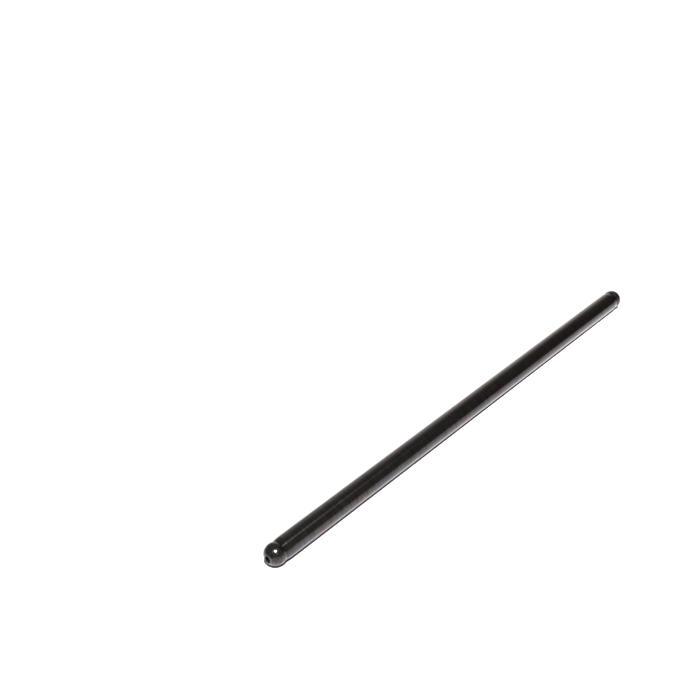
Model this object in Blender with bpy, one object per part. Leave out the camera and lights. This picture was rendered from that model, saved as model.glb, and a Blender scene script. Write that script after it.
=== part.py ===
"""Engine pushrod: one steel tube whose ends are swaged into drilled balls, lying along X.

The origin is the centre of the ball that sits in the lifter. The tube runs from there along +X to a ball
of the same form that sits in the rocker arm. An open bore carries oil from one ball's hole to the other's.
"""

import math

import bmesh
import bpy

# Driving dimensions, in metres
OVERALL_LENGTH = 0.21971  # over the two hole rims, 8.65 in
TUBE_DIAMETER = 0.0079375  # 5/16 in
TUBE_WALL = 0.002032  # 0.080 in
BALL_DIAMETER = 0.0079375  # 5/16 in
NECK_DEPTH = 0.00025  # how far the neck lies below the ball or the tube, whichever is thinner
NECK_FILLET = 0.0012  # hollow radius between the ball and the swaged cone
SWAGE_ANGLE = math.radians(7.0)  # slope of the cone that rises from the neck to the tube
SHOULDER_RADIUS = 0.006  # rounding where the cone meets the tube
OIL_HOLE_DIAMETER = 0.00238125  # 3/32 in
OIL_HOLE_CHAMFER = 0.0002  # 45 degree break of the hole's edge, so that it can't score its seat
OIL_HOLE_LENGTH = 0.0035  # straight part of the hole, from its rim
THROAT_LENGTH = 0.006  # funnel in which the swaged bore opens from the hole to its full width

# Facets
STEPS_ROUND = 64
BALL_STEPS = 18
FILLET_STEPS = 7
SHOULDER_STEPS = 4
THROAT_STEPS = 10

# Black oxide on ground steel
STEEL_COLOUR = (0.022, 0.020, 0.018, 1.0)
STEEL_ROUGHNESS = 0.28
STEEL_METALLIC = 0.9

ball_radius = BALL_DIAMETER / 2
tube_radius = TUBE_DIAMETER / 2
bore_radius = tube_radius - TUBE_WALL
hole_radius = OIL_HOLE_DIAMETER / 2
rim_radius = hole_radius + OIL_HOLE_CHAMFER
neck_radius = min(ball_radius, tube_radius) - NECK_DEPTH
tip_distance = math.sqrt(ball_radius**2 - rim_radius**2)  # from a ball's centre to its hole's rim
ball_spacing = OVERALL_LENGTH - 2 * tip_distance


def clear_scene():
    for old in list(bpy.data.objects):
        bpy.data.objects.remove(old, do_unlink=True)


def arc(centre, radius, start, end, steps):
    """Points (x, r) on an arc about centre, by angles counted from the +X direction, both ends included."""
    turns = [start + (end - start) * step / steps for step in range(steps + 1)]
    return [(centre[0] + radius * math.cos(turn), centre[1] + radius * math.sin(turn)) for turn in turns]


def ball_outline():
    """The ball from its hole's rim to the point where the neck's hollow takes over, and that hollow's centre."""
    hollow_x = math.sqrt((ball_radius + NECK_FILLET) ** 2 - (neck_radius + NECK_FILLET) ** 2)
    hollow = (hollow_x, neck_radius + NECK_FILLET)
    rim_turn = math.pi - math.asin(rim_radius / ball_radius)
    neck_turn = math.atan2(hollow[1], hollow[0])
    return arc((0, 0), ball_radius, rim_turn, neck_turn, BALL_STEPS), hollow


def swage_outline(hollow):
    """The neck's hollow, the cone and the rounded shoulder, from the ball to the full width of the tube."""
    rise = tube_radius - neck_radius
    slope = min(SWAGE_ANGLE, math.acos(max(0.0, 1 - rise / (NECK_FILLET + SHOULDER_RADIUS))))
    straight_rise = rise - (NECK_FILLET + SHOULDER_RADIUS) * (1 - math.cos(slope))
    cone_length = straight_rise / math.tan(slope)
    shoulder_x = hollow[0] + (NECK_FILLET + SHOULDER_RADIUS) * math.sin(slope) + cone_length
    from_ball = math.atan2(-hollow[1], -hollow[0])
    fillet = arc(hollow, NECK_FILLET, from_ball, slope - math.pi / 2, FILLET_STEPS)
    shoulder_centre = (shoulder_x, tube_radius - SHOULDER_RADIUS)
    shoulder = arc(shoulder_centre, SHOULDER_RADIUS, math.pi / 2 + slope, math.pi / 2, SHOULDER_STEPS)
    return fillet[1:] + shoulder


def hole_outline():
    """The bore from its full width through the throat and the oil hole to the chamfered rim."""
    hole_end = OIL_HOLE_LENGTH - tip_distance
    throat = []
    for step in range(THROAT_STEPS + 1):
        share = step / THROAT_STEPS
        opening = (1 + math.cos(math.pi * share)) / 2
        radius = hole_radius + (bore_radius - hole_radius) * opening
        throat.append((hole_end + THROAT_LENGTH * (1 - share), radius))
    return throat + [(OIL_HOLE_CHAMFER - tip_distance, hole_radius)]


def end_section():
    """Half of the section's loop about the lifter ball: from the bore, round the ball, to the tube's outside."""
    ball, hollow = ball_outline()
    return hole_outline() + ball + swage_outline(hollow)


def rod_section():
    """The whole loop (x, r). The rocker end is the lifter end turned about the middle of the rod."""
    lifter_end = end_section()
    rocker_end = [(ball_spacing - x, r) for x, r in reversed(lifter_end)]
    return lifter_end + rocker_end


def turned_mesh(name, section):
    """Turns the closed section about the X axis into one closed skin."""
    shape = bmesh.new()
    corners = [shape.verts.new((x, 0.0, r)) for x, r in section]
    sides = [shape.edges.new((corners[i - 1], corners[i])) for i in range(len(corners))]
    bmesh.ops.spin(
        shape,
        geom=corners + sides,
        axis=(1.0, 0.0, 0.0),
        cent=(0.0, 0.0, 0.0),
        angle=2 * math.pi,
        steps=STEPS_ROUND,
        use_merge=True,
    )
    bmesh.ops.recalc_face_normals(shape, faces=shape.faces)
    mesh = bpy.data.meshes.new(name)
    shape.to_mesh(mesh)
    shape.free()
    mesh.shade_smooth()
    mesh.set_sharp_from_angle(angle=math.radians(30))
    return mesh


def black_oxide_steel():
    material = bpy.data.materials.new("black_oxide_steel")
    material.use_nodes = True
    shader = material.node_tree.nodes["Principled BSDF"]
    shader.inputs["Base Color"].default_value = STEEL_COLOUR
    shader.inputs["Roughness"].default_value = STEEL_ROUGHNESS
    shader.inputs["Metallic"].default_value = STEEL_METALLIC
    material.diffuse_color = STEEL_COLOUR
    return material


def make_pushrod():
    mesh = turned_mesh("pushrod", rod_section())
    mesh.materials.append(black_oxide_steel())
    pushrod = bpy.data.objects.new("pushrod", mesh)
    bpy.context.scene.collection.objects.link(pushrod)
    return pushrod


clear_scene()
make_pushrod()
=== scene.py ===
"""Looks of the engine pushrod: black oxide steel on a white floor, lit by one small lamp high in front.

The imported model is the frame. The rod lies along +X, and the centre of the lifter ball is the origin. The
piece made here has the solid's own section, turned in finer steps, with a map along and round it that gives
the grinding marks their direction.
"""

import math

import bpy
from mathutils import Matrix, Vector


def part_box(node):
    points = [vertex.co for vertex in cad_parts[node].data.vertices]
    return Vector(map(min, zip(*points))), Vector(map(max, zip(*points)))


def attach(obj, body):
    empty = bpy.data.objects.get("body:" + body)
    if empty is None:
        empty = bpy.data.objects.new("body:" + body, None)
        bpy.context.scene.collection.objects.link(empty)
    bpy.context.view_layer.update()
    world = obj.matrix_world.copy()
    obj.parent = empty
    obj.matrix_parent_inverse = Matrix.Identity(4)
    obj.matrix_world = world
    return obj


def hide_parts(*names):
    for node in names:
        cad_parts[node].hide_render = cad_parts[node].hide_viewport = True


NODE = "pushrod"
PIECE = "pushrod_black_oxide"
MAP = "unrolled"  # runs along and round the rod

# Driving dimensions that the frame's box doesn't give, in metres
TUBE_WALL = 0.002032
NECK_DEPTH = 0.00025  # how far the neck lies below the ball and the tube
NECK_FILLET = 0.0012  # hollow radius between the ball and the swaged cone
SWAGE_ANGLE = math.radians(7.0)
SHOULDER_RADIUS = 0.006  # rounding where the cone meets the tube
OIL_HOLE_CHAMFER = 0.0002
OIL_HOLE_LENGTH = 0.0035  # straight part of the hole, from its rim
THROAT_LENGTH = 0.006  # funnel in which the bore opens from the hole to its full width

# Facets
STEPS_ROUND = 144
BALL_STEPS = 60
FILLET_STEPS = 12
SHOULDER_STEPS = 10
THROAT_STEPS = 16
RUN_STEP = 0.002  # rows of faces along the straight tube and bore
SHARP_ANGLE = math.radians(30)
FLOOR_SIDES = 64

# Camera, level look first and then its roll
CAMERA_PLACE = (-0.16840, -0.20687, 0.23119)
CAMERA_HEADING = math.radians(44.456)  # from +X towards +Y
CAMERA_PITCH = math.radians(-30.57)
CAMERA_ROLL = math.radians(-4.74)
CAMERA_LENS = 54.514  # in millimetres
SENSOR_WIDTH = 36  # the same, over the frame's width
CLIP_START = 0.01

# Lamp
LAMP_HEADING = math.radians(-124.2)  # where the lamp stands, from +X
LAMP_HEIGHT = math.radians(63.4)
LAMP_SPREAD = math.radians(3.0)
LAMP_STRENGTH = 8.7

# Room, by the parts of +X, +Y and +Z in a direction
ROOM_LEFT = (0.38, 0.355, 0.315, 1.0)  # the dim room towards -X
ROOM_RIGHT = (0.16, 0.135, 0.115, 1.0)  # the same past the rocker end
ROOM_TURN = (0.35, 0.85)  # the parts of +X between which the one goes over into the other
PANEL_LIGHT = (1.08, 0.98, 0.91)  # a broad soft light low on the far side
PANEL_ACROSS = (-0.2, 0.2)  # the parts of +Y between which it begins
PANEL_ALONG = (0.36, 0.64)  # the same for +X
PANEL_TOP = (0.35, 0.85)  # its height falls off between these parts of +Z
PANEL_SLANT_FROM = 0.62  # past this part of +X its top slants down
PANEL_SLANT = 0.8
BACKDROP = (1.1, 1.1, 1.1, 1.0)  # what is seen past the floor's edge

# Floor, by the distance from the rod's axis, with a painted glow in front of the rod and painted contact
# shade under it
FLOOR_OPEN = (0.385, 0.375, 0.39, 1.0)
PAINTED_GLOW_NEAR = (0.83, 0.79, 0.82, 1.0)  # painted glow close in front of the lifter end: light that the rod throws back, painted into the floor's colour
PAINTED_GLOW_FAR = (0.93, 0.885, 0.92, 1.0)  # the same painted glow close in front of the rocker end
GLOW_START = 0.004  # from here to GLOW_END the glow fades
GLOW_END = 0.045
GLOW_BEHIND = 1.5  # tube radii behind the axis over which the glow ends
GLOW_PAST_TIP = 2.5  # tube radii before the lifter ball's centre over which it reaches round behind
PAINTED_CONTACT_SHADE = (0.57, 0.58, 0.66, 1.0)  # painted contact shade: the floor's colour darkened under the rod, where its shadow line falls
CONTACT_START = 0.0025  # from here to CONTACT_END, still under the rod, the painted shade ends
CONTACT_END = 0.0032
FLOOR_RADIUS = 6.0
WHITE = (1.0, 1.0, 1.0, 1.0)

# Noise runs from 0 to 1, and its size is a pair of features a metre, along and around the rod
NOISE_CORE = (0.35, 0.65)  # most of a noise's values lie between these
NOISE_WIDE = (0.3, 0.7)  # nearly all of them lie between these
PLAIN_DETAIL = 2.0  # octaves of a noise, where nothing else is said
HUE_DETAIL = 3.0  # the same where the film's colour drifts
CLOUD_DETAIL = 4.0  # the same in the clouds on a ball

# Black oxide: the film's own colour, and for each colour that it drifts to, the size of its patches and the
# part of the noise over which it comes in
OXIDE = (0.059, 0.057, 0.060, 1.0)
OXIDE_BROWN = (0.068, 0.057, 0.053, 1.0)
OXIDE_GREEN = (0.055, 0.061, 0.055, 1.0)
OXIDE_BLUE = (0.056, 0.058, 0.066, 1.0)
HUE_DRIFT = (
    (OXIDE_BROWN, (70, 240), (0.50, 0.66)),
    (OXIDE_GREEN, (95, 210), (0.54, 0.68)),
    (OXIDE_BLUE, (120, 270), (0.56, 0.70)),
)
PATCHES = (150, 360)
PATCH_TONE = (0.92, 1.08)  # times the film's colour in dark and in light patches

# Ground tube
FINE_MARKS = (3600, 220)
MIDDLING_MARKS = (2000, 160)
COARSE_MARKS = (520, 160)
FINE_SHARE = 0.6  # the shares of the three in the marks add up to 1
MIDDLING_SHARE = 0.35
COARSE_SHARE = 0.05
MARK_TONE = (0.6, 1.4)  # times the film's colour in dark and in light marks
MARK_BUMP = 0.35  # how strongly the marks tilt the surface
MARK_DEPTH = 0.00001  # in metres
TUBE_ANISOTROPY = 0.93
ROUGH_NEAR = 0.176  # the tube is handled duller at the lifter end
ROUGH_FAR = 0.10
ROUGH_DRIFT = (-0.006, 0.006)  # added to the roughness by the coarse marks
FADE_START = 0.005  # from here to FADE_END, along from the lifter ball's centre, the tube gets smoother
FADE_END = 0.083
SHOULDER_START = 0.003  # up to here the lifter end's neck and cone have their full polish
SHOULDER_POLISH = -0.02  # added to their roughness, and gone by FADE_START
# dirt and painted shade in the necks; at the rocker end the painted shade dims the neck's reflection
NECK_DIRT_AND_SHADE = (0.030, 0.027, 0.025, 1.0)
DIRT_AND_SHADE_NEAR = 0.5  # how much of the lifter end's neck the dirt and painted shade cover
DIRT_AND_SHADE_FAR = 1.0  # the same at the rocker end
REACH_NEAR = 0.0028  # how far from the lifter ball's centre the dirt and painted shade reach along the tube
REACH_FAR = 0.0065  # the same from the rocker ball's centre

# Polished balls
BALL_CLOUD = (900, 900)
BALL_MOTTLE = (1700, 1700)
BALL_SPECKS = (6500, 6500)
SPECK_RANGE = (0.48, 0.7)  # the part of the noise over which specks come in
SPECK_ROUGHNESS = 0.2  # added to the roughness in a speck
BALL_ROUGHNESS = (0.148, 0.168)  # by the cloud
MOTTLE_TONE = (0.55, 1.45)  # times the film's colour, by the mottle
ROCKER_BALL_PAINTED_LIGHT = 1.3  # times the film's colour on the rocker ball: painted light, so that it reflects more brightly
CLOUD_BUMP = 0.12  # how strongly the cloud tilts the surface
CLOUD_DEPTH = 0.00002  # in metres
RIM_WEAR = 0.0005  # how far from the hole's rim the film is rubbed
RIM_WORN = (0.25, 0.75)  # how much of the film is gone at the rim, by the cloud
WORN_STEEL = (0.17, 0.165, 0.165, 1.0)  # steel that shows through where the film has rubbed off

# Drawn bore
BORE_GRAIN = (400, 2600)
BORE_DARK = (0.012, 0.011, 0.010, 1.0)
BORE_LIGHT = (0.030, 0.027, 0.024, 1.0)
BORE_ROUGHNESS = (0.55, 0.7)

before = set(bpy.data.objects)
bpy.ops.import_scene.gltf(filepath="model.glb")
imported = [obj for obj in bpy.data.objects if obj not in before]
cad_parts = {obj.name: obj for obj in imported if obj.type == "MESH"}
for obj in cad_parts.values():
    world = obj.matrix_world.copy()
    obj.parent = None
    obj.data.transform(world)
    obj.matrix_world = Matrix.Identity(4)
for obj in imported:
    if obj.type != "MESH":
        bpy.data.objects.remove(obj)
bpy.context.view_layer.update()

node_low, node_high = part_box(NODE)
tube_radius = node_high.z
ball_radius = tube_radius
tip_distance = -node_low.x  # from the lifter ball's centre to its hole's rim
ball_spacing = node_high.x - tip_distance
bore_radius = tube_radius - TUBE_WALL
rim_radius = math.sqrt(ball_radius**2 - tip_distance**2)
hole_radius = rim_radius - OIL_HOLE_CHAMFER
neck_radius = tube_radius - NECK_DEPTH

# Along the rod, from the ball's centre to the neck's lowest ring
neck_x = math.sqrt((ball_radius + NECK_FILLET) ** 2 - (neck_radius + NECK_FILLET) ** 2)

BALL, TUBE, BORE = range(3)  # the piece's material places

# Places of the colour sockets on a mix node, whose names they share with others
MIX_FIRST = 6
MIX_SECOND = 7
MIXED = 2


def arc(centre, radius, start, end, steps):
    """Points (x, r) on an arc about centre, by angles from the +X direction, both ends included."""
    turns = [start + (end - start) * step / steps for step in range(steps + 1)]
    return [(centre[0] + radius * math.cos(turn), centre[1] + radius * math.sin(turn)) for turn in turns]


def ball_outline(hollow):
    """The ball from its hole's rim to the point where the neck's hollow takes over."""
    rim_turn = math.pi - math.asin(rim_radius / ball_radius)
    neck_turn = math.atan2(hollow[1], hollow[0])
    return arc((0, 0), ball_radius, rim_turn, neck_turn, BALL_STEPS)


def swage_outline(hollow):
    """The neck's hollow, the cone and the rounded shoulder, from the ball to the full width of the tube."""
    rise = tube_radius - neck_radius
    straight_rise = rise - (NECK_FILLET + SHOULDER_RADIUS) * (1 - math.cos(SWAGE_ANGLE))
    cone_length = straight_rise / math.tan(SWAGE_ANGLE)
    shoulder_x = hollow[0] + (NECK_FILLET + SHOULDER_RADIUS) * math.sin(SWAGE_ANGLE) + cone_length
    from_ball = math.atan2(-hollow[1], -hollow[0])
    fillet = arc(hollow, NECK_FILLET, from_ball, SWAGE_ANGLE - math.pi / 2, FILLET_STEPS)
    shoulder_centre = (shoulder_x, tube_radius - SHOULDER_RADIUS)
    shoulder = arc(
        shoulder_centre, SHOULDER_RADIUS, math.pi / 2 + SWAGE_ANGLE, math.pi / 2, SHOULDER_STEPS
    )
    return fillet[1:] + shoulder


def hole_outline():
    """The bore from its full width through the throat and the oil hole to the chamfered rim."""
    hole_end = OIL_HOLE_LENGTH - tip_distance
    throat = []
    for step in range(THROAT_STEPS + 1):
        share = step / THROAT_STEPS
        opening = (1 + math.cos(math.pi * share)) / 2
        radius = hole_radius + (bore_radius - hole_radius) * opening
        throat.append((hole_end + THROAT_LENGTH * (1 - share), radius))
    return throat + [(OIL_HOLE_CHAMFER - tip_distance, hole_radius)]


def straight_run(start, end, radius):
    """The points between two stations of a straight wall, both left out."""
    steps = max(1, round(abs(end - start) / RUN_STEP))
    return [(start + (end - start) * step / steps, radius) for step in range(1, steps)]


def rod_rows():
    """The section's closed loop as rows (x, r, material of the faces that follow)."""
    hollow = (neck_x, neck_radius + NECK_FILLET)
    inside = hole_outline()
    ball = ball_outline(hollow)
    swage = swage_outline(hollow)
    end = [(x, r, BORE) for x, r in inside[:-1]] + [(*inside[-1], BALL)]
    end += [(x, r, BALL) for x, r in ball[:-1]] + [(*ball[-1], TUBE)]
    end += [(x, r, TUBE) for x, r in swage]
    tube_start = swage[-1][0]
    bore_start = inside[0][0]
    tube = [(x, r, TUBE) for x, r in straight_run(tube_start, ball_spacing - tube_start, tube_radius)]
    bore = [(x, r, BORE) for x, r in straight_run(ball_spacing - bore_start, bore_start, bore_radius)]
    mirrored = [(ball_spacing - x, r) for x, r, _ in reversed(end)]
    materials = [material for _, _, material in reversed(end[:-1])] + [BORE]
    rocker_end = [(x, r, material) for (x, r), material in zip(mirrored, materials)]
    return end + tube + rocker_end + bore


def turned_piece(rows):
    """Turns the rows about the X axis into one closed skin, mapped along and round the rod."""
    corners = []
    for x, r, _ in rows:
        for step in range(STEPS_ROUND):
            turn = 2 * math.pi * step / STEPS_ROUND
            corners.append((x, -r * math.sin(turn), r * math.cos(turn)))
    faces = []
    places = []
    materials = []
    length = node_high.x - node_low.x
    for row, (x, _, material) in enumerate(rows):
        after = (row + 1) % len(rows)
        near = (x - node_low.x) / length
        far = (rows[after][0] - node_low.x) / length
        for step in range(STEPS_ROUND):
            beside = (step + 1) % STEPS_ROUND
            faces.append(
                (
                    row * STEPS_ROUND + step,
                    row * STEPS_ROUND + beside,
                    after * STEPS_ROUND + beside,
                    after * STEPS_ROUND + step,
                )
            )
            low = step / STEPS_ROUND
            high = (step + 1) / STEPS_ROUND
            places += [(near, low), (near, high), (far, high), (far, low)]
            materials.append(material)
    mesh = bpy.data.meshes.new(PIECE)
    mesh.from_pydata(corners, [], faces)
    unrolled = mesh.uv_layers.new(name=MAP)
    unrolled.uv.foreach_set("vector", [value for place in places for value in place])
    mesh.polygons.foreach_set("material_index", materials)
    mesh.shade_smooth()
    mesh.set_sharp_from_angle(angle=SHARP_ANGLE)
    mesh.update()
    piece = bpy.data.objects.new(PIECE, mesh)
    bpy.context.scene.collection.objects.link(piece)
    return piece


class Nodes:
    """Short ways to add and join nodes in a tree."""

    def __init__(self, tree):
        self.tree = tree

    def add(self, kind, settings=None, **inputs):
        """A node with its settings and inputs; an input that is a socket is joined."""
        node = self.tree.nodes.new(kind)
        for key, value in (settings or {}).items():
            setattr(node, key, value)
        for key, value in inputs.items():
            self.feed(node.inputs[key.replace("_", " ")], value)
        return node

    def feed(self, socket, value):
        if isinstance(value, bpy.types.NodeSocket):
            self.tree.links.new(value, socket)
        else:
            socket.default_value = value

    def spread(self, value, low, high, to_low, to_high, way="LINEAR"):
        """value taken from one range to another, held at its ends."""
        node = self.add(
            "ShaderNodeMapRange",
            {"interpolation_type": way},
            Value=value,
            From_Min=low,
            From_Max=high,
            To_Min=to_low,
            To_Max=to_high,
        )
        return node.outputs["Result"]

    def mix(self, share, first, second):
        """One colour going over into another as share goes from 0 to 1."""
        node = self.add("ShaderNodeMix", {"data_type": "RGBA"})
        self.feed(node.inputs["Factor"], share)
        self.feed(node.inputs[MIX_FIRST], first)
        self.feed(node.inputs[MIX_SECOND], second)
        return node.outputs[MIXED]

    def math(self, way, first, second=0.0):
        node = self.add("ShaderNodeMath", {"operation": way})
        self.feed(node.inputs[0], first)
        self.feed(node.inputs[1], second)
        return node.outputs[0]

    def total(self, first, *others):
        for other in others:
            first = self.math("ADD", first, other)
        return first

    def product(self, first, *others):
        for other in others:
            first = self.math("MULTIPLY", first, other)
        return first

    def vector_math(self, way, first, second):
        node = self.add("ShaderNodeVectorMath", {"operation": way})
        self.feed(node.inputs[0], first)
        self.feed(node.inputs[1], second)
        return node.outputs["Vector"]

    def scaled(self, vector, scale):
        node = self.add("ShaderNodeVectorMath", {"operation": "SCALE"}, Vector=vector, Scale=scale)
        return node.outputs["Vector"]

    def parts(self, vector):
        return self.add("ShaderNodeSeparateXYZ", Vector=vector).outputs


class Finish(Nodes):
    """A new node material for the rod or the floor."""

    def __init__(self, name):
        self.material = bpy.data.materials.new(name)
        self.material.use_nodes = True
        super().__init__(self.material.node_tree)
        self.shader = self.tree.nodes["Principled BSDF"]

    def dress(self, **inputs):
        for key, value in inputs.items():
            self.feed(self.shader.inputs[key.replace("_", " ")], value)

    def place(self):
        """The object's own coordinates, in metres."""
        return self.add("ShaderNodeTexCoord").outputs["Object"]

    def noise(self, along, around, detail=PLAIN_DETAIL):
        """Soft noise from 0 to 1 with so many features a metre along and around the rod."""
        stretched = self.vector_math("MULTIPLY", self.place(), (along, around, around))
        return self.add("ShaderNodeTexNoise", Vector=stretched, Scale=1.0, Detail=detail).outputs["Fac"]

    def along(self):
        """Distance along the rod from the lifter ball's centre, in metres."""
        return self.parts(self.place())["X"]

    def by_end(self, lifter, rocker):
        """A value that goes evenly from the lifter ball's centre to the rocker ball's."""
        return self.spread(self.along(), 0, ball_spacing, lifter, rocker)

    def from_end(self):
        """Distance along the rod from the nearer ball's centre, in metres; below zero towards the hole."""
        off_middle = self.math("ABSOLUTE", self.math("SUBTRACT", self.along(), ball_spacing / 2))
        return self.math("SUBTRACT", ball_spacing / 2, off_middle)

    def bumped(self, height, strength, distance):
        node = self.add("ShaderNodeBump", Strength=strength, Distance=distance, Height=height)
        return node.outputs["Normal"]


def oxide_colour(finish):
    """Black oxide whose film drifts between brown, green and blue, lighter and darker in patches."""
    colour = OXIDE
    for hue, size, comes_in in HUE_DRIFT:
        share = finish.spread(finish.noise(*size, HUE_DETAIL), *comes_in, 0, 1)
        colour = finish.mix(share, colour, hue)
    return finish.scaled(colour, finish.spread(finish.noise(*PATCHES), *NOISE_CORE, *PATCH_TONE))


def tube_roughness(finish, coarse):
    """Duller towards the lifter end, with a smoother cone there, and uneven by the coarse marks."""
    along = finish.along()
    return finish.total(
        finish.spread(along, FADE_START, FADE_END, ROUGH_NEAR, ROUGH_FAR),
        finish.spread(along, SHOULDER_START, FADE_START, SHOULDER_POLISH, 0),
        finish.spread(coarse, *NOISE_WIDE, *ROUGH_DRIFT),
    )


def ground_tube():
    """Ground tube: fine marks round the rod spread a highlight along it, and the necks are darkened by dirt
    and painted shade.
    """
    finish = Finish("ground_tube_black_oxide")
    coarse = finish.noise(*COARSE_MARKS)
    marks = finish.total(
        finish.product(finish.noise(*FINE_MARKS), FINE_SHARE),
        finish.product(finish.noise(*MIDDLING_MARKS), MIDDLING_SHARE),
        finish.product(coarse, COARSE_SHARE),
    )
    reach = finish.by_end(REACH_NEAR, REACH_FAR)
    in_neck = finish.spread(finish.from_end(), neck_x, reach, 1, 0, "SMOOTHSTEP")
    # dirt and painted shade, strongest in the rocker end's neck
    dirt_and_shade = finish.product(in_neck, finish.by_end(DIRT_AND_SHADE_NEAR, DIRT_AND_SHADE_FAR))
    colour = finish.mix(dirt_and_shade, oxide_colour(finish), NECK_DIRT_AND_SHADE)
    tangent = finish.add("ShaderNodeTangent", {"direction_type": "UV_MAP", "uv_map": MAP})
    finish.dress(
        Base_Color=finish.scaled(colour, finish.spread(marks, *NOISE_CORE, *MARK_TONE)),
        Roughness=tube_roughness(finish, coarse),
        Metallic=1.0,
        Anisotropic=TUBE_ANISOTROPY,
        Tangent=tangent.outputs["Tangent"],
        Normal=finish.bumped(marks, MARK_BUMP, MARK_DEPTH),
    )
    return finish.material


def polished_ball():
    """Ball end: turned and polished with duller specks, its film rubbed thin round the oil hole; the rocker
    ball is lighter by painted light.
    """
    finish = Finish("polished_ball_black_oxide")
    cloud = finish.noise(*BALL_CLOUD, CLOUD_DETAIL)
    mottle = finish.noise(*BALL_MOTTLE)
    specks = finish.spread(finish.noise(*BALL_SPECKS), *SPECK_RANGE, 0, 1)
    at_rim = finish.spread(finish.from_end(), -tip_distance, RIM_WEAR - tip_distance, 1, 0, "SMOOTHSTEP")
    worn = finish.product(at_rim, finish.spread(cloud, *NOISE_CORE, *RIM_WORN))
    colour = finish.mix(worn, oxide_colour(finish), WORN_STEEL)
    # random mottle, and painted light that makes the rocker ball brighter
    tone = finish.product(
        finish.spread(mottle, *NOISE_CORE, *MOTTLE_TONE),
        finish.by_end(1, ROCKER_BALL_PAINTED_LIGHT),
    )
    roughness = finish.total(
        finish.spread(cloud, *NOISE_WIDE, *BALL_ROUGHNESS),
        finish.product(specks, SPECK_ROUGHNESS),
    )
    finish.dress(
        Base_Color=finish.scaled(colour, tone),
        Roughness=roughness,
        Metallic=1.0,
        Normal=finish.bumped(cloud, CLOUD_BUMP, CLOUD_DEPTH),
    )
    return finish.material


def oxide_bore():
    """Inside of the tube: the same film on a drawn wall, duller than outside."""
    finish = Finish("drawn_bore_black_oxide")
    grain = finish.noise(*BORE_GRAIN)
    finish.dress(
        Base_Color=finish.mix(grain, BORE_DARK, BORE_LIGHT),
        Roughness=finish.spread(grain, *NOISE_WIDE, *BORE_ROUGHNESS),
        Metallic=1.0,
    )
    return finish.material


def floor_colour(finish):
    """Painted glow close in front of the rod and round its lifter end, and painted shade under it.

    Distances are from the rod's axis, and before the lifter end from that ball's centre.
    """
    place = finish.parts(finish.place())
    before_rod = finish.math("MAXIMUM", finish.math("MULTIPLY", place["X"], -1.0), 0.0)
    apart = finish.add("ShaderNodeCombineXYZ", X=before_rod, Y=place["Y"]).outputs["Vector"]
    distance = finish.add("ShaderNodeVectorMath", {"operation": "LENGTH"}, Vector=apart).outputs["Value"]
    fade = finish.spread(distance, GLOW_START, GLOW_END, 1, 0)
    behind = finish.spread(place["Y"], 0, GLOW_BEHIND * tube_radius, 0, 1)
    past_tip = finish.spread(place["X"], -GLOW_PAST_TIP * tube_radius, 0, 0, 1)
    in_front = finish.math("SUBTRACT", 1.0, finish.product(behind, past_tip))
    # painted glow: light that the rod throws back, painted into the floor's colour
    painted_glow = finish.mix(finish.by_end(0, 1), PAINTED_GLOW_NEAR, PAINTED_GLOW_FAR)
    tone = finish.mix(finish.product(fade, fade, in_front), FLOOR_OPEN, painted_glow)
    # painted contact shade: the floor's colour darkened close under the rod
    painted_contact_shade = finish.mix(finish.spread(distance, CONTACT_START, CONTACT_END, 0, 1), PAINTED_CONTACT_SHADE, WHITE)
    return finish.vector_math("MULTIPLY", tone, painted_contact_shade)


def white_floor():
    """A pale floor in the plane that the tube lies on, its colour carrying a painted glow and painted
    shade.
    """
    middle = (node_low + node_high) / 2
    rim = []
    for side in range(FLOOR_SIDES):
        turn = 2 * math.pi * side / FLOOR_SIDES
        rim.append((middle.x + FLOOR_RADIUS * math.cos(turn), FLOOR_RADIUS * math.sin(turn), -tube_radius))
    mesh = bpy.data.meshes.new("floor")
    mesh.from_pydata(rim, [], [tuple(range(FLOOR_SIDES))])
    finish = Finish("floor_white")
    finish.dress(Base_Color=floor_colour(finish), Roughness=1.0, Specular_IOR_Level=0.0)
    mesh.materials.append(finish.material)
    floor = bpy.data.objects.new("floor", mesh)
    bpy.context.scene.collection.objects.link(floor)


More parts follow.
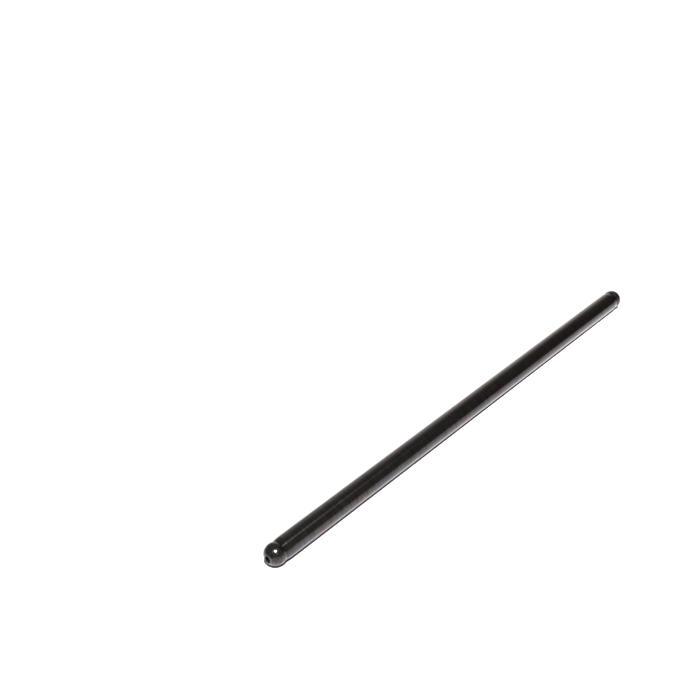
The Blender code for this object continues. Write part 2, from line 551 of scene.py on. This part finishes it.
def room():
    """A dim room, lighter towards -X, with a soft panel on the far side; seen directly it is white."""
    world = bpy.data.worlds.new("room")
    bpy.context.scene.world = world
    world.use_nodes = True
    nodes = Nodes(world.node_tree)
    direction = nodes.parts(nodes.add("ShaderNodeTexCoord").outputs["Generated"])
    dim = nodes.mix(nodes.spread(direction["X"], *ROOM_TURN, 0, 1, "SMOOTHSTEP"), ROOM_LEFT, ROOM_RIGHT)
    across = nodes.spread(direction["Y"], *PANEL_ACROSS, 0, 1, "SMOOTHSTEP")
    along = nodes.spread(direction["X"], *PANEL_ALONG, 0, 1)
    past = nodes.math("MAXIMUM", nodes.math("SUBTRACT", direction["X"], PANEL_SLANT_FROM), 0.0)
    height = nodes.total(direction["Z"], nodes.product(past, PANEL_SLANT))
    below_top = nodes.spread(height, *PANEL_TOP, 1, 0, "SMOOTHSTEP")
    panel = nodes.scaled(PANEL_LIGHT, nodes.product(across, along, below_top))
    light = nodes.vector_math("ADD", dim, panel)
    seen = nodes.add("ShaderNodeLightPath").outputs["Is Camera Ray"]
    background = nodes.tree.nodes["Background"]
    nodes.feed(background.inputs["Color"], nodes.mix(seen, light, BACKDROP))


def lamp():
    """One small lamp, high in front, that makes the ball's dot and the thin shadow."""
    data = bpy.data.lights.new("lamp", "SUN")
    data.angle = LAMP_SPREAD
    data.energy = LAMP_STRENGTH
    source = bpy.data.objects.new("lamp", data)
    towards = Vector(
        (
            math.cos(LAMP_HEIGHT) * math.cos(LAMP_HEADING),
            math.cos(LAMP_HEIGHT) * math.sin(LAMP_HEADING),
            math.sin(LAMP_HEIGHT),
        )
    )
    source.rotation_euler = towards.to_track_quat("Z", "Y").to_euler()
    source.location = towards
    bpy.context.scene.collection.objects.link(source)


def camera():
    """The photograph's view: turned to its heading, tilted down and rolled."""
    data = bpy.data.cameras.new("camera")
    data.sensor_width = SENSOR_WIDTH
    data.lens = CAMERA_LENS
    data.clip_start = CLIP_START
    viewer = bpy.data.objects.new("camera", data)
    turned = Matrix.Rotation(CAMERA_HEADING - math.pi / 2, 4, "Z")
    tilted = Matrix.Rotation(CAMERA_PITCH + math.pi / 2, 4, "X")
    rolled = Matrix.Rotation(CAMERA_ROLL, 4, "Z")
    viewer.matrix_world = Matrix.Translation(CAMERA_PLACE) @ turned @ tilted @ rolled
    bpy.context.scene.collection.objects.link(viewer)
    bpy.context.scene.camera = viewer


piece = turned_piece(rod_rows())
for material in (polished_ball(), ground_tube(), oxide_bore()):
    piece.data.materials.append(material)
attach(piece, "root")
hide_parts(NODE)

white_floor()
room()
lamp()
camera()
bpy.context.scene.view_settings.view_transform = "Standard"

bpy.context.view_layer.update()
